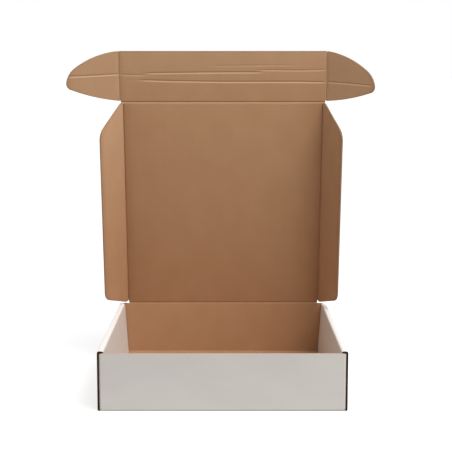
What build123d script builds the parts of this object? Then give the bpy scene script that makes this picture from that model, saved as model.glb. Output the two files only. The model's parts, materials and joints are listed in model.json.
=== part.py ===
from build123d import *

import os

# Roll-end tuck-front mailer box, folded from one die-cut sheet of corrugated board.
# +X is to the right, +Y to the back, +Z up. The origin is the centre of the base's underside.
# Millimetres and degrees.

# Board
board = 1.6
inner_fold_radius = 0.5

# Tray
width = 254.0
depth = 254.0
side_height = 62.0
rollover_width = 6.6
inner_panel_lean = 3.9  # how far an inner side panel leans in from its rollover down to the base
corner_gap = 0.5  # between a wall's ear and the side wall outside it
side_end_inset = 0.8  # the side walls stop this far short of the front and back faces
front_end_gap = 0.6  # between an inner side panel and the front wall
back_end_gap = 1.5  # between a rollover and the back wall
rollover_lift = 0.4  # between the front wall's top edge and the rollovers over it
wall_ear_length = 58.0
wall_ear_drop = 0.5  # the ears' top edges are this far below the front wall's
wall_ear_corner = 9.0
panel_foot_gap = 0.3  # between an inner side panel's bottom edge and the base
tab_length = 36.0
tab_spacing = 96.0  # between the middles of a side's two tabs
tab_clearance = 0.35
tab_recess = 0.2  # a tab ends this far above the base's underside
corner_slit = 0.4

# Lid
crease_gap = 0.4  # between a flap's rounded crease edge and the board it folds on
closed_lid_gap = 0.2  # between the closed lid and the side walls' rims
lid_lean = 10.2  # the open lid leans this far forward of upright

# Dust flaps
dust_crease_inset = 3.7  # from the tray's inside at the rims in to a dust flap's crease
dust_flap_width = 48.5
dust_flap_bend_left = 61.5
dust_flap_bend_right = 67.0
dust_flap_inset = 2.0  # the crease starts this far from the hinge
dust_flap_back_taper = 21.8
dust_flap_front_taper = 31.7
dust_flap_land = 5.0  # each end runs square off the crease this far
dust_flap_front_gap = 0.5  # between the flap and the tuck flap's crease edge
dust_flap_back_round = 13.0
dust_flap_front_round = 16.0

# Tuck flap, as it sits in the closed box, and its ears
tuck_front_gap = 1.3  # behind the front wall
tuck_foot_gap = 2.4  # above the base
tuck_side_gap = 0.2  # from the tray's inside at the rims in to an ear's crease
tuck_bend = 0.9
tuck_ear_length = 60.6
tuck_ear_bend_left = 12.0
tuck_ear_bend_right = 32.0
tuck_ear_foot = 1.0  # the ear's lower edge starts this far above the crease
tuck_ear_tip_drop = 34.5  # from the tuck flap's top edge down to the tip
tuck_ear_shoulder_in = 10.6  # from the tip back to where the end starts to round
tuck_ear_shoulder_drop = 17.7
tuck_ear_heel_in = 6.1  # from the tip back to where the lower edge starts
tuck_ear_heel_height = 15.7
tuck_ear_top_rise = 3.7  # how far the top edge bulges from its chord
tuck_ear_foot_fall = 1.9  # how far the lower edge bulges from its chord

half = board / 2
middle_radius = inner_fold_radius + half
outer_fold_radius = inner_fold_radius + board
crease_setback = half + crease_gap

# Heights
front_height = side_height - board - rollover_lift
hinge_z = side_height + closed_lid_gap + half
panel_foot_z = board + panel_foot_gap
wall_ear_bottom = outer_fold_radius + corner_slit
wall_ear_top = front_height - wall_ear_drop

# Places along the tray, towards the back
hinge_y = depth / 2 - half
inside_y = depth / 2 - board

# Places across the tray, on its right-hand side
wall_middle_x = width / 2 - half
inside_x = width / 2 - rollover_width
rim_middle_x = inside_x + half
floor_middle_x = rim_middle_x - inner_panel_lean
wall_ear_middle_x = width / 2 - board - corner_gap - half
wall_flat_end_x = wall_ear_middle_x - middle_radius
fold_end_x = width / 2 - board - corner_gap - corner_slit

# The lid and the tuck flap fit the tray
lid_length = hinge_y + inside_y - half - tuck_front_gap
lid_width = 2 * (inside_x - dust_crease_inset)
tuck_height = hinge_z - board - tuck_foot_gap
tuck_width = 2 * (inside_x - tuck_side_gap)


def folded(path_points, plane, low, high):
    """Board folded along a path, seen edge-on in plane, and as wide as low to high."""
    path = FilletPolyline(*path_points, radius=middle_radius)
    face = trace(path, board)
    return extrude(plane.offset(low) * face, high - low)


def block(low, high):
    """A box between two opposite corners."""
    size = [b - a for a, b in zip(low, high)]
    return Pos(*low) * Box(*size, align=(Align.MIN, Align.MIN, Align.MIN))


def side_walls():
    """Base, outer side walls, rollovers and inner side panels: one strip folded across the tray."""
    rim_z = side_height - half
    right = [
        (wall_middle_x, half),
        (wall_middle_x, rim_z),
        (rim_middle_x, rim_z),
        (floor_middle_x, panel_foot_z),
    ]
    left = [(-x, z) for x, z in reversed(right)]
    reach = depth / 2 - side_end_inset
    across = Plane((0, 0, 0), x_dir=(1, 0, 0), z_dir=(0, -1, 0))
    return folded(left + right, across, -reach, reach)


def end_wall(height):
    """The back wall with its fold and a strip of the base; the front wall is this one turned round."""
    path_points = [
        (depth / 2 - 4 * outer_fold_radius, half),
        (depth / 2 - half, half),
        (depth / 2 - half, height),
    ]
    along = Plane((0, 0, 0), x_dir=(0, 1, 0), z_dir=(1, 0, 0))
    wall = folded(path_points, along, -fold_end_x, fold_end_x)
    for side in (-1, 1):
        near, far = sorted((side * wall_flat_end_x, side * width / 2))
        wall -= block((near, 0, outer_fold_radius), (far, depth, height + board))
    return wall + wall_ears()


def wall_ears():
    """The end wall between its two ears, which fold round into the double side walls."""
    ear_end_y = depth / 2 - wall_ear_length
    right = [(wall_ear_middle_x, depth / 2 - half), (wall_ear_middle_x, ear_end_y)]
    left = [(-x, y) for x, y in reversed(right)]
    ears = folded(left + right, Plane.XY, wall_ear_bottom, wall_ear_top)
    for z in (wall_ear_bottom, wall_ear_top):
        corner = ears.edges().filter_by(Axis.X).filter_by(
            lambda edge: abs(edge.center().Y - ear_end_y) < half
            and abs(edge.center().Z - z) < half
        )
        ears = fillet(corner, wall_ear_corner)
    return ears


def tabs():
    """The middles of the four tabs along Y, each with its side of the tray."""
    return [(side, end * tab_spacing / 2) for side in (-1, 1) for end in (-1, 1)]


def tab_run(side, low_z, high_z, y, length, extra):
    """A sloping piece in line with an inner side panel, extra thicker each way than the board."""
    slope = (rim_middle_x - floor_middle_x) / (side_height - half - panel_foot_z)
    reach = half + extra
    corners = [
        (floor_middle_x + slope * (z - panel_foot_z) + dx, z)
        for z, dx in ((low_z, -reach), (low_z, reach), (high_z, reach), (high_z, -reach))
    ]
    outline = make_face(Polyline(*[(side * x, z) for x, z in corners], close=True))
    across = Plane((0, y + length / 2, 0), x_dir=(1, 0, 0), z_dir=(0, -1, 0))
    return extrude(across * outline, length)


def tray():
    """The tray, as folded and locked: one piece of board."""
    strip = side_walls()
    fold_start = depth / 2 - outer_fold_radius
    inside = width / 2 - board - corner_slit / 2
    flat = fold_end_x + corner_slit
    above = side_height + board
    rollover_under = front_height + rollover_lift / 2
    back_stop = inside_y - back_end_gap
    front_stop = front_end_gap - inside_y
    strip -= block((-flat, fold_start, -board), (flat, depth, outer_fold_radius))
    strip -= block((-flat, -depth, -board), (flat, -fold_start, outer_fold_radius))
    strip -= block((-inside, back_stop, board), (inside, depth, above))
    strip -= block((-inside, -depth, board), (inside, front_stop, rollover_under))
    for side, y in tabs():
        slot = tab_length + 2 * tab_clearance
        strip -= tab_run(side, -board, board, y, slot, tab_clearance)
        strip += tab_run(side, tab_recess, panel_foot_z + board, y, tab_length, 0)
    back = end_wall(hinge_z - crease_setback)
    front = Rot(0, 0, 180) * end_wall(front_height)
    return strip + back + front


def hinged(outline, crease):
    """A flat flap: its outline thickened both ways, and a round edge along its crease."""
    plate = extrude(outline, half, both=True)
    start, end = crease
    line = Line(start, end)
    turn = Plane(origin=start, z_dir=line % 0)
    return plate + extrude(turn * Circle(half), line.length)


def lid():
    """The lid, flat, with its hinge crease along X through the origin."""
    edge_x = lid_width / 2 - crease_setback
    end_y = lid_length - crease_setback
    outline = make_face(
        Polyline((-edge_x, 0), (edge_x, 0), (edge_x, end_y), (-edge_x, end_y), close=True)
    )
    return hinged(outline, ((-edge_x, 0), (edge_x, 0)))


def dust_flap(side):
    """A dust flap, flat, with its crease along Y through the origin, on the side of its sign."""
    back = dust_flap_inset
    front = lid_length - half - dust_flap_front_gap
    run = dust_flap_width - dust_flap_land
    back_corner = back + run * tan_degrees(dust_flap_back_taper)
    front_corner = front - run * tan_degrees(dust_flap_front_taper)
    outline = make_face(
        Polyline(
            (0, back),
            (side * dust_flap_land, back),
            (side * dust_flap_width, back_corner),
            (side * dust_flap_width, front_corner),
            (side * dust_flap_land, front),
            (0, front),
            close=True,
        )
    )
    for y, radius in ((back_corner, dust_flap_back_round), (front_corner, dust_flap_front_round)):
        corner = Vector(side * dust_flap_width, y)
        nearest = outline.vertices().sort_by_distance(corner)[0]
        outline = fillet(nearest, radius)
    return hinged(outline, ((0, back), (0, front)))


def tuck_flap():
    """The tuck flap, flat, with its crease along X through the origin."""
    edge_x = tuck_width / 2 - crease_setback
    outline = make_face(
        Polyline(
            (-edge_x, 0), (edge_x, 0), (edge_x, tuck_height), (-edge_x, tuck_height), close=True
        )
    )
    return hinged(outline, ((-edge_x, 0), (edge_x, 0)))


def tuck_ear(side):
    """A tuck flap's ear, flat, with its crease along Y through the origin."""
    top = (0, tuck_height)
    shoulder = (tuck_ear_length - tuck_ear_shoulder_in, tuck_height - tuck_ear_shoulder_drop)
    tip = (tuck_ear_length, tuck_height - tuck_ear_tip_drop)
    heel = (tuck_ear_length - tuck_ear_heel_in, tuck_ear_heel_height)
    foot = (0, tuck_ear_foot)
    top_edge = SagittaArc(top, shoulder, tuck_ear_top_rise)
    end_edge = TangentArc(shoulder, tip, tangent=top_edge % 1)
    tip_edge = TangentArc(tip, heel, tangent=end_edge % 1)
    lower_edge = SagittaArc(heel, foot, tuck_ear_foot_fall)
    outline = make_face([top_edge, end_edge, tip_edge, lower_edge, Line(foot, top)])
    if side < 0:
        outline = mirror(outline, about=Plane.YZ)
    return hinged(outline, (foot, top))


def tan_degrees(angle):
    """The tangent of an angle in degrees: how far a line at that angle rises over one."""
    direction = Vector(1, 0, 0).rotate(Axis.Z, angle)
    return direction.Y / direction.X


lid_place = Pos(0, hinge_y, hinge_z) * Rot(90 + lid_lean, 0, 0)
tuck_place = lid_place * Pos(0, lid_length, 0) * Rot(tuck_bend, 0, 0)


def flap_place(parent, crease_x, bend):
    """Where a side flap goes: on a crease at crease_x of its parent, bent inwards."""
    inwards = -bend if crease_x > 0 else bend
    return parent * Pos(crease_x, 0, 0) * Rot(0, inwards, 0)


nodes = {
    "tray": tray(),
    "lid": lid_place * lid(),
    "dust_flap_left": flap_place(lid_place, -lid_width / 2, dust_flap_bend_left) * dust_flap(-1),
    "dust_flap_right": flap_place(lid_place, lid_width / 2, dust_flap_bend_right) * dust_flap(1),
    "tuck_flap": tuck_place * tuck_flap(),
    "tuck_ear_left": flap_place(tuck_place, -tuck_width / 2, tuck_ear_bend_left) * tuck_ear(-1),
    "tuck_ear_right": flap_place(tuck_place, tuck_width / 2, tuck_ear_bend_right) * tuck_ear(1),
}

os.makedirs("parts", exist_ok=True)
for name, shape in nodes.items():
    export_step(shape, f"parts/{name}.step")
    print(name, len(shape.solids()), round(shape.volume, 1))
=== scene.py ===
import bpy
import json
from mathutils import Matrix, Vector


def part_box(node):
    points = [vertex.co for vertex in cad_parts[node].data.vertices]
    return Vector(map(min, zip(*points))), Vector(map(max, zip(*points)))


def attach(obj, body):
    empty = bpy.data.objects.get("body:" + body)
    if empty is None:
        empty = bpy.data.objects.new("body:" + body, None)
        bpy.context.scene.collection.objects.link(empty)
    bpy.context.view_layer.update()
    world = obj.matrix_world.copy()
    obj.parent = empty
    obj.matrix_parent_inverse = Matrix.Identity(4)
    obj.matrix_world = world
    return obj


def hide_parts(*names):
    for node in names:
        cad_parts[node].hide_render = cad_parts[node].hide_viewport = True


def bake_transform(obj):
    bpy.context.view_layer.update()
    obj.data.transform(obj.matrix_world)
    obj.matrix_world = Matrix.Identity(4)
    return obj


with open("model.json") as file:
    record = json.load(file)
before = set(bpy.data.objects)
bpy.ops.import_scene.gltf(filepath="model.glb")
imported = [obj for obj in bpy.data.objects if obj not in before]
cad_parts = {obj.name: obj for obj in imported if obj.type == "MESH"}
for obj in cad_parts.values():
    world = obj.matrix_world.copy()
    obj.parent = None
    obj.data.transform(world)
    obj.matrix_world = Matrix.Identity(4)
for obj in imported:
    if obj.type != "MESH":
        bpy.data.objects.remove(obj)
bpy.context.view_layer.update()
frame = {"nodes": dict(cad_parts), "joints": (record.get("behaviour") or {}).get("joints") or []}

import json
from math import atan2, ceil, copysign, cos, exp, pi, radians, sin

import bmesh
import bpy
from mathutils import Vector

# A mailer box of thin corrugated board: white liner outside, brown kraft liner inside.
# Metres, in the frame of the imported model: +X right, +Y back, +Z up.

MM = 0.001
BOARD = 1.6 * MM
HALF = BOARD / 2
LINER = 0.26 * MM
FLUTING = 0.2 * MM
FLUTE_PITCH = 3.15 * MM
WASHBOARD = 0.03 * MM  # how far a liner sinks between the flutes
PRESSED = 0.16 * MM  # how far a liner is pressed down at its cut edge
PRESSED_WIDTH = 0.9 * MM
CREASE_DEPTH = 0.5 * MM  # how far the brown liner is pressed down along a crease
CREASE_WIDTH = 1.3 * MM
SETBACK = 1.2 * MM  # from a crease's axis to the board it folds on
CREASE_START = 2.4 * MM  # a crease's own piece reaches this far from its axis into the parent
CREASE_END = 1.2 * MM  # and this far into the child
FOLD = 2.1 * MM  # outer radius of the tray's folds
END_DEPTH = 3.0 * MM  # how deep the fluting lies in the tray's upright cut edges, along the flutes
TOP_DEPTH = 0.4 * MM  # and in its level cut edges, across them
EDGE_PAINTED_SHADE = 0.55  # painted shade: how much darker the brown liner is painted at its cut edges
EDGE_WIDTH = 0.8 * MM
FAR = 1.0  # metres from any edge, for a flap with no cut edge
LONG_EDGE = 50 * MM * MM  # the least area of a cut edge that shows its fluting

LINE_FADE = 6  # mm over which a groove in a flap runs out at its ends
LINE_WIDTH = 0.75  # mm from a groove's middle to its side

# Painted light and shade: above 0 painted pale, below 0 painted dark. It is paint, not lamps, and stays on
# the board.
LID_PAINTED_SHADE = 0.34  # painted shade: how much darker the lid's brown face is painted at its foot, where the tray shades it
LEFT_PAINTED_SHADE = 0.12  # and painted shade along its left-hand crease
RIGHT_PAINTED_SHADOW = 0.2  # and the right dust flap's painted shadow along its right-hand one
PAINTED_SHADE_WIDTH = 20 * MM
TUCK_PAINTED_LIGHT = (-0.05, 0.1)  # painted light at the tuck flap's foot and head: darker at the foot, lighter at the head
# Painted light on the ears and the dust flaps, at foot and head: darker at the foot, lighter at the head.
EAR_PAINTED_LIGHT = (0.06, 0.1)
DUST_PAINTED_LIGHT = {"left": (-0.12, 0.2), "right": (-0.12, 0.08)}
CREASE_PAINTED_SHADE = -0.3  # painted shade in a crease's bottom
# and painted light in the right ear's crease bottom, lifting the groove's shade to a pale line
CREASE_PAINTED_LIGHT = 1.0
RIM_PAINTED_LIGHT = 0.85  # painted light: how much brighter the tray's rims are painted
PANEL_PAINTED_LIGHT = 0.22  # and its inner side panels, painted lighter too
END_PAINTED_HIGHLIGHT = 1.0  # and a painted highlight on the left panel's end at the back wall
END_WIDTH = 1.7 * MM
FRONT_PAINTED_SHADE = 0.12  # painted shade: how much darker the front wall is painted at its top
LEFT_FRONT_PAINTED_SHADE = 0.03  # and at its middle, twice that at its left end, painted shade too
BACK_PAINTED_SHADE = 0.1  # painted shade: how much darker the back wall's brown face is painted
RIGHT_BACK_PAINTED_SHADOW = 0.1  # and at its middle besides, twice that at its right end, the right side wall's painted shadow
CORNER_PAINTED_SHADE = 0.5  # and painted shade at that face's two ends, in the corners
CORNER_WIDTH = 2.2 * MM
CORNER_STEPS = [0, 0.8 * MM, 1.6 * MM, 2.6 * MM, 4.2 * MM]

SUN = Vector((0.19, -0.26, 0.42))  # towards the sun, as long as it is strong
FILL = Vector((-0.16, 0.16, 0.04))  # and towards the fill light
SUN_SPREAD = radians(55)
SOFTBOX_PLACE = Vector((0.55, -0.45, 1.15))
SOFTBOX_WATTS = 5.9
SKY_GREY = 0.42
SKY_STOPS = [(-0.1, SKY_GREY), (-0.02, 1.0), (sin(radians(6)), 1.0), (sin(radians(20)), SKY_GREY)]
LENS = 90.83
EYE = (3.48 * MM, -1251.4 * MM, 334.7 * MM)
LOOK_DOWN = radians(7.345)

WHITE, KRAFT, RAW, CORE, SHADE = range(5)

joints = {joint["child"]: joint for joint in frame["joints"]}


# ---------------------------------------------------------------- panels

class Panel:
    """A flat flap's own axes, from its crease: x and y in its plane, n out of the brown face."""

    def __init__(self, origin, x, y):
        self.origin = Vector(origin)
        self.x = Vector(x).normalized()
        self.y = Vector(y).normalized()
        self.n = self.x.cross(self.y)
        if self.n.y > 0:
            self.n.negate()

    def local(self, point):
        """A point of the row frame as (x, y, n)."""
        away = Vector(point) - self.origin
        return Vector((away.dot(self.x), away.dot(self.y), away.dot(self.n)))

    def world(self, x, y, n):
        """(x, y, n) as a point of the row frame."""
        return self.origin + self.x * x + self.y * y + self.n * n


def centre_of(node):
    """The middle of a CAD node's vertices."""
    vertices = frame["nodes"][node].data.vertices
    return sum((v.co for v in vertices), Vector()) / len(vertices)


def side_panel(node):
    """The panel of a flap whose crease runs up the board: x leads away from the crease."""
    joint = joints[node]
    along = Vector(joint["axis"])
    if along.z < 0:
        along.negate()
    away = centre_of(node) - Vector(joint["pos_m"])
    return Panel(joint["pos_m"], away - along * away.dot(along), along)


def level_panel(node, side_flap):
    """The panel of a flap whose crease runs along X: y leads away from it, along a side flap's crease."""
    up = Vector(joints[side_flap]["axis"])
    return Panel(joints[node]["pos_m"], (1, 0, 0), up * copysign(1, up.z))


panels = {
    "lid": level_panel("lid", "dust_flap_left"),
    "tuck_flap": level_panel("tuck_flap", "tuck_ear_left"),
    "dust_flap_left": side_panel("dust_flap_left"),
    "dust_flap_right": side_panel("dust_flap_right"),
    "tuck_ear_left": side_panel("tuck_ear_left"),
    "tuck_ear_right": side_panel("tuck_ear_right"),
}

# ---------------------------------------------------------------- materials


def srgb(red, green, blue):
    """A screen colour, 0 to 255, as linear RGBA."""
    return [(c / 255 / 12.92 if c <= 10 else ((c / 255 + 0.055) / 1.055) ** 2.4)
            for c in (red, green, blue)] + [1.0]


class Nodes:
    """Short calls for building a material's nodes."""

    def __init__(self, name, roughness, specular):
        self.material = bpy.data.materials.new(name)
        self.material.use_nodes = True
        self.tree = self.material.node_tree
        self.shader = self.tree.nodes["Principled BSDF"]
        self.shader.inputs["Roughness"].default_value = roughness
        self.shader.inputs["Specular IOR Level"].default_value = specular

    def add(self, kind, inputs=None, **settings):
        node = self.tree.nodes.new("ShaderNode" + kind)
        for key, value in settings.items():
            setattr(node, key, value)
        for key, value in (inputs or {}).items():
            self.feed(value, node.inputs[key])
        return node

    def feed(self, value, socket):
        if isinstance(value, bpy.types.NodeSocket):
            self.tree.links.new(value, socket)
        else:
            socket.default_value = value

    def math(self, operation, a, b=0.0, c=0.0):
        return self.add("Math", {0: a, 1: b, 2: c}, operation=operation).outputs[0]

    def sheet(self, scale=(1, 1, 1)):
        """The point's place on the flat sheet, in metres, times scale: along the flutes, across, depth."""
        place = self.add("Attribute", attribute_name="sheet").outputs["Vector"]
        return self.add("VectorMath", {0: place, 1: scale}, operation="MULTIPLY").outputs[0]

    def with_painted_light(self, colour, pale, dark):
        """colour, painted pale where the painted light is above 0 and painted dark where it is below."""
        painted_light = self.add("Attribute", attribute_name="painted_light").outputs["Fac"]
        lighter = self.mix(self.spread(painted_light, 0, 1), colour, pale)
        return self.mix(self.spread(painted_light, 0, -1), lighter, dark)

    def noise(self, place, detail=4.0, rough=0.5):
        node = self.add("TexNoise", {"Vector": place, "Scale": 1.0, "Detail": detail, "Roughness": rough})
        return node.outputs["Fac"]

    def spread(self, value, low, high, out_low=0.0, out_high=1.0):
        """value from low..high to out_low..out_high, clamped."""
        node = self.add("MapRange", {0: value, 1: low, 2: high, 3: out_low, 4: out_high})
        return node.outputs[0]

    def mix(self, factor, a, b):
        node = self.add("Mix", data_type="RGBA")
        self.feed(factor, node.inputs[0])
        self.feed(a, node.inputs[6])
        self.feed(b, node.inputs[7])
        return node.outputs[2]

    def shade(self, colour, value):
        """colour times a grey value."""
        node = self.add("VectorMath", operation="SCALE")
        self.feed(colour, node.inputs[0])
        self.feed(value, node.inputs[3])
        return node.outputs[0]

    def finish(self, colour, height=None, distance=0.0):
        self.feed(colour, self.shader.inputs["Base Color"])
        if height is not None:
            bump = self.add("Bump", {"Height": height, "Distance": distance, "Strength": 1.0})
            self.feed(bump.outputs["Normal"], self.shader.inputs["Normal"])
        return self.material


def flute_wave(nodes):
    """1 over each flute's tip and 0 between."""
    across = nodes.add("SeparateXYZ", {0: nodes.sheet()}).outputs["Y"]
    turns = nodes.math("MULTIPLY", across, 2 * pi / FLUTE_PITCH)
    return nodes.math("MULTIPLY_ADD", nodes.math("COSINE", turns), 0.5, 0.5)


def kraft_material():
    nodes = Nodes("kraft_liner", 0.86, 0.18)
    fibres = nodes.noise(nodes.sheet((1900, 420, 1)), 5, 0.62)
    clouds = nodes.noise(nodes.sheet((42, 26, 1)), 3, 0.5)
    tone = nodes.mix(nodes.spread(clouds, 0.35, 0.65), srgb(177, 136, 101), srgb(181, 140, 105))
    light = nodes.spread(fibres, 0.3, 0.7, 0.955, 1.045)
    # The flute wave paints the brown liner 1.5% lighter over the flutes and 1.5% darker between them: painted
    # shade of the washboard.
    light = nodes.math("MULTIPLY", light, nodes.spread(flute_wave(nodes), 0, 1, 0.985, 1.015))
    # The pale and dark colours here are a painted highlight and painted shade, mixed in where light and shade
    # are painted.
    colour = nodes.with_painted_light(nodes.shade(tone, light), srgb(238, 208, 176), srgb(118, 68, 30))
    return nodes.finish(colour, fibres, 0.02 * MM)


def white_material():
    nodes = Nodes("white_liner", 0.62, 0.3)
    fibres = nodes.noise(nodes.sheet((1500, 500, 1)), 4, 0.6)
    clouds = nodes.noise(nodes.sheet((18, 30, 1)), 3, 0.55)
    tone = nodes.mix(nodes.spread(clouds, 0.35, 0.65), srgb(210, 204, 198), srgb(214, 208, 202))
    light = nodes.spread(fibres, 0.3, 0.7, 0.985, 1.015)
    # The pale and dark colours here are a painted highlight and painted shade, mixed in where light and shade
    # are painted.
    colour = nodes.with_painted_light(nodes.shade(tone, light), srgb(247, 245, 242), srgb(150, 145, 140))
    return nodes.finish(colour, fibres, 0.015 * MM)


def raw_material():
    """The cut edges of the liners, crushed pale by the die."""
    nodes = Nodes("cut_edge", 0.9, 0.2)
    fibres = nodes.noise(nodes.sheet((2500, 2500, 2500)), 3, 0.6)
    tone = nodes.mix(nodes.spread(fibres, 0.35, 0.65), srgb(196, 160, 128), srgb(226, 200, 174))
    return nodes.finish(tone, fibres, 0.04 * MM)


def core_material():
    """The fluted paper between the liners."""
    nodes = Nodes("fluting", 0.95, 0.1)
    fibres = nodes.noise(nodes.sheet((1800, 1800, 1800)), 3, 0.6)
    tone = nodes.mix(nodes.spread(fibres, 0.35, 0.65), srgb(128, 92, 64), srgb(150, 112, 80))
    return nodes.finish(tone, fibres, 0.05 * MM)


def shade_material():
    """The open flutes at the side walls' upright ends, painted near black as the shade in the slot beside the
    front wall.
    """
    nodes = Nodes("open_flutes_painted_shade", 0.95, 0.05)
    flecks = nodes.noise(nodes.sheet((1500, 1500, 700)), 3, 0.6)
    tone = nodes.mix(nodes.spread(flecks, 0.35, 0.65), srgb(58, 48, 43), srgb(78, 65, 57))
    return nodes.finish(tone, flecks, 0.08 * MM)


board_materials = [white_material(), kraft_material(), raw_material(), core_material(), shade_material()]

# ---------------------------------------------------------------- meshes


def working_copy(node):
    """A CAD node's mesh with its flat faces whole again."""
    work = bmesh.new()
    work.from_mesh(frame["nodes"][node].data)
    bmesh.ops.remove_doubles(work, verts=work.verts, dist=0.001 * MM)
    bmesh.ops.dissolve_limit(work, angle_limit=radians(0.4), verts=work.verts, edges=work.edges)
    work.normal_update()
    return work


def no_painted_light(place, normal):
    return 0


def piece_from(work, name, place_on_sheet, painted_light=no_painted_light):
    """A Blender object from a bmesh.

    Each corner keeps its place on the flat sheet, from place_on_sheet(point, normal), and the light and shade
    painted on the paper there, from painted_light(place, normal): above 0 painted pale, below 0 painted dark.
    """
    mesh = bpy.data.meshes.new(name)
    work.to_mesh(mesh)
    work.free()
    for material in board_materials:
        mesh.materials.append(material)
    mesh.attributes.new("sheet", "FLOAT_VECTOR", "CORNER")
    mesh.attributes.new("painted_light", "FLOAT", "CORNER")
    sheet = mesh.attributes["sheet"].data
    painted_light_data = mesh.attributes["painted_light"].data
    for polygon in mesh.polygons:
        polygon.use_smooth = True
        for corner in polygon.loop_indices:
            point = mesh.vertices[mesh.loops[corner].vertex_index].co
            place = place_on_sheet(point, polygon.normal)
            sheet[corner].vector = place
            painted_light_data[corner].value = painted_light(place, polygon.normal)
    mesh.set_sharp_from_angle(angle=radians(28))
    piece = bpy.data.objects.new(name, mesh)
    bpy.context.scene.collection.objects.link(piece)
    return piece


def quads(work, one, other, cover, closed=False):
    """A strip of faces between two rows of vertices."""
    count = len(one) if closed else len(one) - 1
    for i in range(count):
        j = (i + 1) % len(one)
        face = work.faces.new((one[i], one[j], other[j], other[i]))
        face.material_index = cover


def grid(work, rows, cover):
    for one, other in zip(rows, rows[1:]):
        quads(work, one, other, cover)


# ---------------------------------------------------------------- flaps of layered board


def outline_of(node, panel):
    """The outline of a flap's brown face as (x, y) points."""
    work = working_copy(node)
    brown = [face for face in work.faces if face.normal.dot(panel.n) > 0.9]
    widest = max(brown, key=lambda face: face.calc_area())
    points = [panel.local(v.co).to_2d() for v in widest.verts]
    work.free()
    return points


def width_at(outline, y):
    """The outline's lowest and highest x at a height y."""
    crossings = []
    for a, b in zip(outline, outline[1:] + outline[:1]):
        if min(a.y, b.y) <= y <= max(a.y, b.y) and abs(b.y - a.y) > 1e-9:
            crossings.append(a.x + (b.x - a.x) * (y - a.y) / (b.y - a.y))
    return min(crossings), max(crossings)


def evenly(low, high, count):
    """Places from low to high, with count equal steps."""
    return [low + (high - low) * i / count for i in range(count + 1)]


def steps(low, high, step):
    """Even places from low to high, about step apart."""
    return evenly(low, high, ceil((high - low) / step))


def columns(low, high, count):
    """Places across a liner, closer together along its pressed edges."""
    margin = min(PRESSED_WIDTH, (high - low) / 5)
    inner = evenly(low + margin, high - margin, count)
    return [low, low + margin / 2] + inner + [high - margin / 2, high]


def pressed(gaps, creases):
    """How far a liner is pressed down, from its gaps to the four edges and which of them are creases."""
    depth = 0
    for gap, is_crease in zip(gaps, creases):
        width, most = (CREASE_WIDTH, CREASE_DEPTH) if is_crease else (PRESSED_WIDTH, PRESSED)
        depth = max(depth, most * max(0, 1 - gap / width) ** 2)
    return depth


def sunk(y, side):
    """How far a liner sinks between the flutes, on the brown side, 1, or the white, -1."""
    return WASHBOARD * (1 - side * cos(2 * pi * y / FLUTE_PITCH)) / 2


def four_edges(rows):
    """A grid's edges: low x, high x, foot and head."""
    return [row[0] for row in rows], [row[-1] for row in rows], rows[0], rows[-1]


def liner(work, panel, outline, side, cover, step, creases, marks):
    """One liner, a thin closed sheet."""
    low_y = min(point.y for point in outline) + 0.001 * MM
    high_y = max(point.y for point in outline) - 0.001 * MM
    reach = [point.x for point in outline]
    count = ceil((max(reach) - min(reach)) / step)
    faces, backs = [], []
    for y in steps(low_y, high_y, FLUTE_PITCH / 6):
        low, high = width_at(outline, y)
        face_row, back_row = [], []
        for x in columns(low, high, count):
            depth = pressed((x - low, high - x, y - low_y, high_y - y), creases)
            depth += sunk(y, side) + marks(x, y)
            face_row.append(work.verts.new(panel.world(x, y, side * (HALF - depth))))
            back_row.append(work.verts.new(panel.world(x, y, side * (HALF - LINER - depth))))
        faces.append(face_row)
        backs.append(back_row)
    grid(work, faces, cover)
    grid(work, backs, CORE)
    for one, other, is_crease in zip(four_edges(faces), four_edges(backs), creases):
        quads(work, one, other, cover if is_crease else RAW)


def fluting(work, panel, outline, creases):
    """The waved paper between the liners, a little short of their cut edges and of the crushed creases."""
    left, right, foot, head = [CREASE_WIDTH if is_crease else 0.12 * MM for is_crease in creases]
    low_y = min(point.y for point in outline) + foot
    high_y = max(point.y for point in outline) - head
    reach = HALF - PRESSED - LINER - FLUTING / 2
    rows = []
    for y in steps(low_y, high_y, FLUTE_PITCH / 10):
        low, high = width_at(outline, y)
        middle = reach * cos(2 * pi * y / FLUTE_PITCH)
        corners = [(low + left, FLUTING / 2), (high - right, FLUTING / 2),
                   (high - right, -FLUTING / 2), (low + left, -FLUTING / 2)]
        rows.append([work.verts.new(panel.world(x, y, middle + n)) for x, n in corners])
    for one, other in zip(rows, rows[1:]):
        quads(work, one, other, CORE, closed=True)
    for end in (rows[0], rows[-1]):
        work.faces.new(end).material_index = CORE


def unmarked(x, y):
    return 0


def with_painted_edge_shade(outline, panel, creases, painted_light):
    """The brown face's painted light, with painted shade along the flap's cut edges. The white face has none.
    """
    low_y = min(point.y for point in outline)
    high_y = max(point.y for point in outline)

    def edged(place, normal):
        y = min(high_y - 0.001 * MM, max(low_y + 0.001 * MM, place.y))
        low, high = width_at(outline, y)
        gaps = zip((place.x - low, high - place.x, y - low_y, high_y - y), creases)
        gap = min((gap for gap, is_crease in gaps if not is_crease), default=FAR)
        brown = max(0, normal.dot(panel.n))
        return brown * (painted_light(place, normal) - EDGE_PAINTED_SHADE * exp(-(gap / EDGE_WIDTH) ** 2))

    return edged


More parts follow.
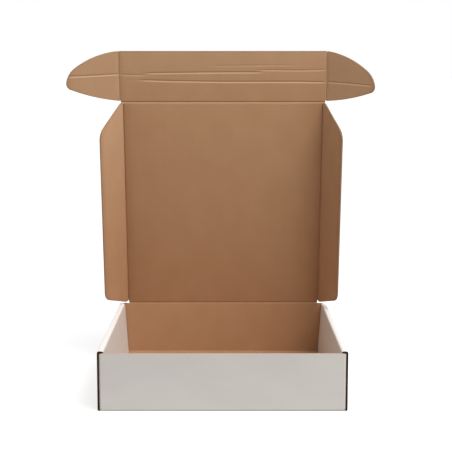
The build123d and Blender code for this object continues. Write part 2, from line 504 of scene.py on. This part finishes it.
def flap(node, step, creases, marks=unmarked, painted_light=no_painted_light):
    """A flap of layered board in place of its CAD node.

    creases says which of its edges are creases: low x, high x, foot and head.
    marks(x, y) says how far its brown face is dented, and painted_light(place, normal) the light and shade
    painted on that face.
    """
    panel = panels[node]
    outline = outline_of(node, panel)
    work = bmesh.new()
    liner(work, panel, outline, 1, KRAFT, step, creases, marks)
    liner(work, panel, outline, -1, WHITE, 4 * step, creases, unmarked)
    fluting(work, panel, outline, creases)
    bmesh.ops.recalc_face_normals(work, faces=work.faces)
    edged = with_painted_edge_shade(outline, panel, creases, painted_light)
    piece = piece_from(work, node + "_board", lambda point, normal: panel.local(point), edged)
    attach(piece, node)
    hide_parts(node)


# ---------------------------------------------------------------- dents in the brown faces


def along_line(points, x):
    """The height of a line through points at x, and how near x is to the line's ends, 0 to 1."""
    if not points[0][0] < x < points[-1][0]:
        return 0, 0
    end_gap = min(x - points[0][0], points[-1][0] - x)
    for (x0, y0), (x1, y1) in zip(points, points[1:]):
        if x <= x1:
            return y0 + (y1 - y0) * (x - x0) / (x1 - x0), min(1, end_gap / LINE_FADE)
    return 0, 0


def dents(lines):
    """marks(x, y) for shallow grooves. Each line is its points, in mm, and its depth, in mm."""

    def marks(x, y):
        depth = 0
        for points, deepest in lines:
            height, strength = along_line(points, x / MM)
            if strength:
                depth += deepest * MM * strength * exp(-((y / MM - height) / LINE_WIDTH) ** 2)
        return depth

    return marks


def groove_painted_light(lines):
    """painted_light(place, normal) for the same grooves: a painted highlight along the lower lip and painted
    shade under the upper.
    """

    def painted_light(place, normal):
        total = 0
        for points, deepest in lines:
            height, strength = along_line(points, place.x / MM)
            if strength:
                away = place.y / MM - height
                pale = exp(-((away + 0.9) / 0.55) ** 2)
                dark = exp(-((away - 0.7) / 0.5) ** 2)
                total += deepest * strength * (pale - 0.6 * dark)
        return total

    return painted_light


tuck_lines = [
    ([(-97, 25.6), (-60, 24.4), (0, 23.5), (88, 23.6), (121, 22.9)], 0.46),
    ([(-121, 32.2), (-104, 31.2), (-86, 31.4)], 0.28),
    ([(-90, 33.6), (-20, 34.4), (46, 34.7)], 0.42),
    ([(40, 37.5), (86, 36.8), (121, 37.6)], 0.3),
    ([(-12, 41.7), (24, 42.4), (48, 42.2)], 0.12),
    ([(32, 43.2), (60, 42.8), (84, 43.0)], 0.1),
]


def lid_painted_shade():
    """painted_light(place, normal) for the lid's brown face: painted shade towards its hinge and its side
    creases.
    """
    length = (Vector(joints["lid"]["pos_m"]) - Vector(joints["tuck_flap"]["pos_m"])).length
    low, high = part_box("lid")[0].x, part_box("lid")[1].x

    def painted_light(place, normal):
        foot = LID_PAINTED_SHADE * (1 - place.y / length)
        left = LEFT_PAINTED_SHADE * exp((low - place.x) / PAINTED_SHADE_WIDTH)
        return -foot - left - RIGHT_PAINTED_SHADOW * exp((place.x - high) / PAINTED_SHADE_WIDTH)

    return painted_light


def graded(node, foot, head, more=no_painted_light):
    """painted_light(place, normal) for a brown face: painted light that changes evenly from its foot to its
    head.
    """
    heights = [point.y for point in outline_of(node, panels[node])]
    low, high = min(heights), max(heights)

    def painted_light(place, normal):
        return more(place, normal) + foot + (head - foot) * (place.y - low) / (high - low)

    return painted_light


left_ear_lines = [([(-2, 3.0), (28, 2.4), (60, 2.2)], 0.42)]
right_ear_lines = [([(-2, -6.3), (28, -5.1), (58, -4.4)], 0.36)]

# ---------------------------------------------------------------- creases between flaps


class Bend:
    """The board at a crease, turning from its parent's plane to its child's."""

    def __init__(self, parent, child):
        panel = panels[child]
        self.origin = panel.origin
        self.along, child_away = (panel.x, panel.y) if child in ("lid", "tuck_flap") else (panel.y, panel.x)
        self.n = panels[parent].n if parent in panels else Vector((0, -1, 0))
        self.away = self.along.cross(self.n)
        if self.away.dot(child_away) < 0:
            self.away.negate()
        self.angle = atan2(child_away.dot(self.n), child_away.dot(self.away))

    def turned(self, share):
        """The directions away from the crease and out of the brown face, a share of the bend round."""
        turn = self.angle * share
        return self.away * cos(turn) + self.n * sin(turn), self.n * cos(turn) - self.away * sin(turn)

    def world(self, along, away, n):
        """A point of the row frame from its place on the creased board."""
        part = min(1, max(0, away / SETBACK + 1))
        outward, normal = self.turned(part * part * (3 - 2 * part))
        return self.origin + self.along * along + outward * away + normal * n


def crease_depth(away):
    """How far the brown liner is pressed down at a distance from the crease's axis."""
    return PRESSED + 0.7 * MM * exp(-((away + 0.4 * MM) / (0.95 * MM)) ** 2)


def crease_painted_light(axis, bottom):
    """painted_light(place, normal) for a crease: a painted highlight along its parent's lip, and as bottom
    says in its bottom.
    """

    def painted_light(place, normal):
        away = place[axis]
        pale = 0.45 * exp(-((away + 1.5 * MM) / (0.5 * MM)) ** 2)
        return pale + bottom * exp(-((away - 0.1 * MM) / (0.5 * MM)) ** 2)

    return painted_light


def crease(name, parent, child, low, high, bottom):
    """The creased board between two flaps, from low to high along the crease.

    bottom says how the crease's bottom is painted: below 0 painted shade, above 0 painted light.
    """
    bend = Bend(parent, child)
    panel = panels[child]
    work = bmesh.new()
    rows = []
    for along in steps(low, high, 4 * MM):
        places = steps(-CREASE_START, CREASE_END, 0.2 * MM)
        brown = [work.verts.new(bend.world(along, away, HALF - crease_depth(away))) for away in places]
        white = [work.verts.new(bend.world(along, away, -HALF + 0.05 * MM)) for away in places]
        rows.append((brown, white))
    grid(work, [brown for brown, white in rows], KRAFT)
    grid(work, [white for brown, white in rows], WHITE)
    edges = [four_edges([row[side] for row in rows]) for side in (0, 1)]
    for one, other in zip(*edges):
        quads(work, one, other, RAW)
    bmesh.ops.recalc_face_normals(work, faces=work.faces)
    axis = 1 if child in ("lid", "tuck_flap") else 0
    piece = piece_from(work, name, lambda point, normal: panel.local(point), crease_painted_light(axis, bottom))
    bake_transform(piece)


# ---------------------------------------------------------------- tray


def tray_cover(centre, normal):
    """What covers a face of the tray, from where it is and where it looks."""
    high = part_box("tray")[1]
    x, y, z = abs(centre.x), abs(centre.y), centre.z
    out_x = normal.x * copysign(1, centre.x)
    out_y = normal.y * copysign(1, centre.y)
    up = normal.z
    hair = 0.05 * MM
    if z < FOLD:
        if up > 0.99:
            return KRAFT
        if z < hair and up < -0.99:
            return WHITE
        if x > high.x - FOLD - hair and out_x > 0.02 and abs(out_y) < 0.02 and up < 0:
            return WHITE
        if y > high.y - FOLD - hair and out_y > 0.02 and abs(out_x) < 0.02 and up < 0:
            return WHITE
        if up > 0.02 and x > high.x - FOLD - hair or y > high.y - FOLD - hair and up > 0.02:
            return KRAFT
        return RAW
    if abs(out_y) > 0.999:
        if y > high.y - hair:
            return WHITE
        # The side walls' upright ends take the open flutes' material, painted near black as shade.
        if out_y > 0 and y > high.y - BOARD and x > high.x - 2 * FOLD - 3 * MM:
            return SHADE
        if abs(y - (high.y - BOARD)) < hair and out_y < 0:
            return KRAFT
        return RAW
    if abs(up) > 0.999:
        if z > high.z - hair:
            return WHITE
        return RAW if up > 0 or z < 0.9 * high.z else KRAFT
    if abs(up) < 0.001 and abs(out_x) < 0.999:
        return WHITE if out_x > 0 or out_y > 0 else KRAFT
    if x > high.x - hair:
        return WHITE
    if abs(up) < 0.001:
        return WHITE if out_x > 0 else KRAFT
    if abs(up) < 0.08 and z < high.z - FOLD - hair:
        return WHITE if out_x < 0 else KRAFT
    return WHITE if up > 0 else KRAFT


def place_on_tray_sheet(point, normal):
    """Along the flutes and across them: the flutes run up the side walls and along the others."""
    if abs(normal.x) > 0.7:
        return Vector((point.z, point.y, point.x))
    if abs(normal.y) > 0.7:
        return Vector((point.x, point.z, point.y))
    return Vector((point.x, point.y, point.z))


def sink(work, faces, depth, cover):
    """Sinks the middle of flat cut edges, so that the two liners stand proud."""
    bmesh.ops.inset_individual(work, faces=faces, thickness=LINER, depth=0)
    bmesh.ops.inset_individual(work, faces=faces, thickness=0.01 * MM, depth=-depth)
    for face in faces:
        face.material_index = cover


def sink_cut_edges(work):
    """Sinks the fluting at the tray's long cut edges."""
    long_edges = [face for face in work.faces if face.material_index == RAW and face.calc_area() > LONG_EDGE]
    upright = [face for face in long_edges if abs(face.normal.y) > 0.99]
    level = [face for face in long_edges if face.normal.z > 0.99]
    ends = [face for face in work.faces if face.material_index == SHADE and face.calc_area() > LONG_EDGE]
    sink(work, upright, END_DEPTH, CORE)
    sink(work, ends, END_DEPTH, SHADE)
    sink(work, level, TOP_DEPTH, RAW)


def inner_reach(work):
    """How far from the middle the inner side panels' faces are."""
    wide = [face for face in work.faces if face.calc_area() > 100 * LONG_EDGE]
    facing = [face for face in wide if abs(face.normal.x) > 0.999]
    return min(abs(face.calc_center_median().x) for face in facing)


def tray_painted_light(reach):
    """painted_light(place, normal) for the tray, whose inner side panels' faces are at reach from the middle.

    The rims and inner side panels are painted bright, the back wall has painted shade towards its right end
    and its corners, the front wall towards its top and left end, and the left inner panel's end a painted
    highlight.
    """
    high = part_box("tray")[1]

    def painted_light(place, normal):
        if normal.z > 0.6:
            return RIM_PAINTED_LIGHT if place.z > high.z - 0.7 * MM else 0
        if abs(normal.y) > 0.7:
            x, z, y = place
            if y > high.y - 2 * BOARD and normal.y < 0:
                corner = exp(-((reach - abs(x)) / CORNER_WIDTH) ** 2)
                return -BACK_PAINTED_SHADE - RIGHT_BACK_PAINTED_SHADOW * (x / reach + 1) - CORNER_PAINTED_SHADE * corner
            if y < 0.1 * MM - high.y and normal.y < 0:
                return -FRONT_PAINTED_SHADE * z / high.z - LEFT_FRONT_PAINTED_SHADE * (1 - x / high.x)
            return 0
        z, y, x = place
        if abs(normal.x) > 0.7 and abs(x) < reach + 0.1 * MM:
            return END_PAINTED_HIGHLIGHT if x < 0 and y > high.y - BOARD - END_WIDTH else PANEL_PAINTED_LIGHT
        return 0

    return painted_light


def scored(work, reach):
    """Adds the rows of vertices that the tray's painted light needs."""
    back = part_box("tray")[1].y - BOARD
    cuts = [((side * (reach - gap), 0, 0), (1, 0, 0)) for side in (-1, 1) for gap in CORNER_STEPS]
    cuts += [((0, back - END_WIDTH - gap, 0), (0, 1, 0)) for gap in (-0.05 * MM, 0.05 * MM)]
    bmesh.ops.triangulate(work, faces=work.faces)
    for place, direction in cuts:
        parts = work.verts[:] + work.edges[:] + work.faces[:]
        bmesh.ops.bisect_plane(work, geom=parts, dist=0.0001 * MM, plane_co=place, plane_no=direction)


def tray():
    """The tray with its liners and sunk cut edges, in place of its CAD node."""
    work = working_copy("tray")
    for face in work.faces:
        face.material_index = tray_cover(face.calc_center_median(), face.normal)
    reach = inner_reach(work)
    sink_cut_edges(work)
    scored(work, reach)
    piece = piece_from(work, "tray_board", place_on_tray_sheet, tray_painted_light(reach))
    # Without this the shading of the flat walls bends towards the round folds.
    flat = piece.modifiers.new("flat_normals", "WEIGHTED_NORMAL")
    flat.keep_sharp = True
    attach(piece, "tray")
    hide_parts("tray")


# ---------------------------------------------------------------- the box


def crease_ends(child):
    """The ends of a flap's edge along its crease."""
    outline = outline_of(child, panels[child])
    if child in ("lid", "tuck_flap"):
        along = [point.x for point in outline if abs(point.y) < 0.05 * MM]
    else:
        along = [point.y for point in outline if abs(point.x) < 0.05 * MM]
    return min(along), max(along)


def box():
    """The tray, the flaps and the creases between them."""
    tray()
    flap("lid", 10 * MM, (True, True, True, True), painted_light=lid_painted_shade())
    tuck_painted_light = graded("tuck_flap", *TUCK_PAINTED_LIGHT, groove_painted_light(tuck_lines))
    flap("tuck_flap", 6 * MM, (True, True, True, False), dents(tuck_lines), tuck_painted_light)
    ear_lines = {"left": left_ear_lines, "right": right_ear_lines}
    creases = [("lid_crease", "tray", "lid"), ("tuck_crease", "lid", "tuck_flap")]
    for side in ("left", "right"):
        dust, ear = "dust_flap_" + side, "tuck_ear_" + side
        lines = ear_lines[side]
        ear_painted_light = graded(ear, *EAR_PAINTED_LIGHT, groove_painted_light(lines))
        flap(dust, 8 * MM, (True, False, False, False), painted_light=graded(dust, *DUST_PAINTED_LIGHT[side]))
        flap(ear, 4 * MM, (True, False, False, False), dents(lines), ear_painted_light)
        creases.append(("dust_crease_" + side, "lid", "dust_flap_" + side))
        creases.append(("ear_crease_" + side, "tuck_flap", "tuck_ear_" + side))
    for name, parent, child in creases:
        low, high = crease_ends(child)
        bottom = CREASE_PAINTED_LIGHT if name == "ear_crease_right" else CREASE_PAINTED_SHADE
        crease(name, parent, child, low + 0.5 * MM, high - 0.5 * MM, bottom)


box()

# ---------------------------------------------------------------- stage, lamps, sky, camera


def stage():
    """A plain pale floor."""
    bpy.ops.mesh.primitive_plane_add(size=2000)
    floor = bpy.context.object
    floor.name = "floor"
    floor.visible_diffuse = False
    nodes = Nodes("floor_paint", 0.9, 0.0)
    nodes.shader.inputs["Emission Color"].default_value = (1, 1, 1, 1)
    nodes.shader.inputs["Emission Strength"].default_value = 0.5
    floor.data.materials.append(nodes.finish((0.62, 0.62, 0.62, 1)))


def lamps():
    """A broad soft sun from the right and front, a weak one from behind, and a soft box above the lid."""
    for name, towards in [("sun", SUN), ("fill", FILL)]:
        sun = bpy.data.objects.new(name, bpy.data.lights.new(name, "SUN"))
        sun.data.energy = towards.length * pi
        sun.data.angle = SUN_SPREAD
        aim(sun, towards)

    softbox = bpy.data.objects.new("softbox", bpy.data.lights.new("softbox", "AREA"))
    softbox.data.shape = "DISK"
    softbox.data.size = 0.8
    softbox.data.energy = SOFTBOX_WATTS
    softbox.location = SOFTBOX_PLACE
    aim(softbox, SOFTBOX_PLACE - Vector((0, 0, 0.2)))


def aim(lamp, backwards):
    """Puts a lamp in the scene, shining against a direction."""
    lamp.rotation_mode = "QUATERNION"
    lamp.rotation_quaternion = backwards.to_track_quat("Z", "Y")
    bpy.context.scene.collection.objects.link(lamp)


def sky():
    """A soft dome: a white band low down, dimmer above it, and the studio floor's glow from below."""
    world = bpy.data.worlds.new("sky")
    bpy.context.scene.world = world
    world.use_nodes = True
    tree = world.node_tree
    direction = tree.nodes.new("ShaderNodeTexCoord")
    height = tree.nodes.new("ShaderNodeSeparateXYZ")
    glow = tree.nodes.new("ShaderNodeValToRGB")
    tree.links.new(direction.outputs["Generated"], height.inputs[0])
    shifted = tree.nodes.new("ShaderNodeMapRange")
    shifted.inputs["From Min"].default_value = -1
    tree.links.new(height.outputs["Z"], shifted.inputs[0])
    tree.links.new(shifted.outputs[0], glow.inputs[0])
    while len(glow.color_ramp.elements) < len(SKY_STOPS):
        glow.color_ramp.elements.new(0.5)
    for element, (z, grey) in zip(glow.color_ramp.elements, SKY_STOPS):
        element.position = (z + 1) / 2
        element.color = (grey, grey, grey, 1)
    tree.links.new(glow.outputs["Color"], tree.nodes["Background"].inputs["Color"])


def camera():
    """The camera, at eye level over the open box and a little to the right of its middle."""
    data = bpy.data.cameras.new("camera")
    data.sensor_width = 36
    data.lens = LENS
    data.clip_end = 200
    eye = bpy.data.objects.new("camera", data)
    eye.location = EYE
    eye.rotation_euler = (radians(90) - LOOK_DOWN, 0, 0)
    bpy.context.scene.collection.objects.link(eye)
    bpy.context.scene.camera = eye


stage()
lamps()
sky()
camera()
bpy.context.scene.view_settings.view_transform = "Standard"
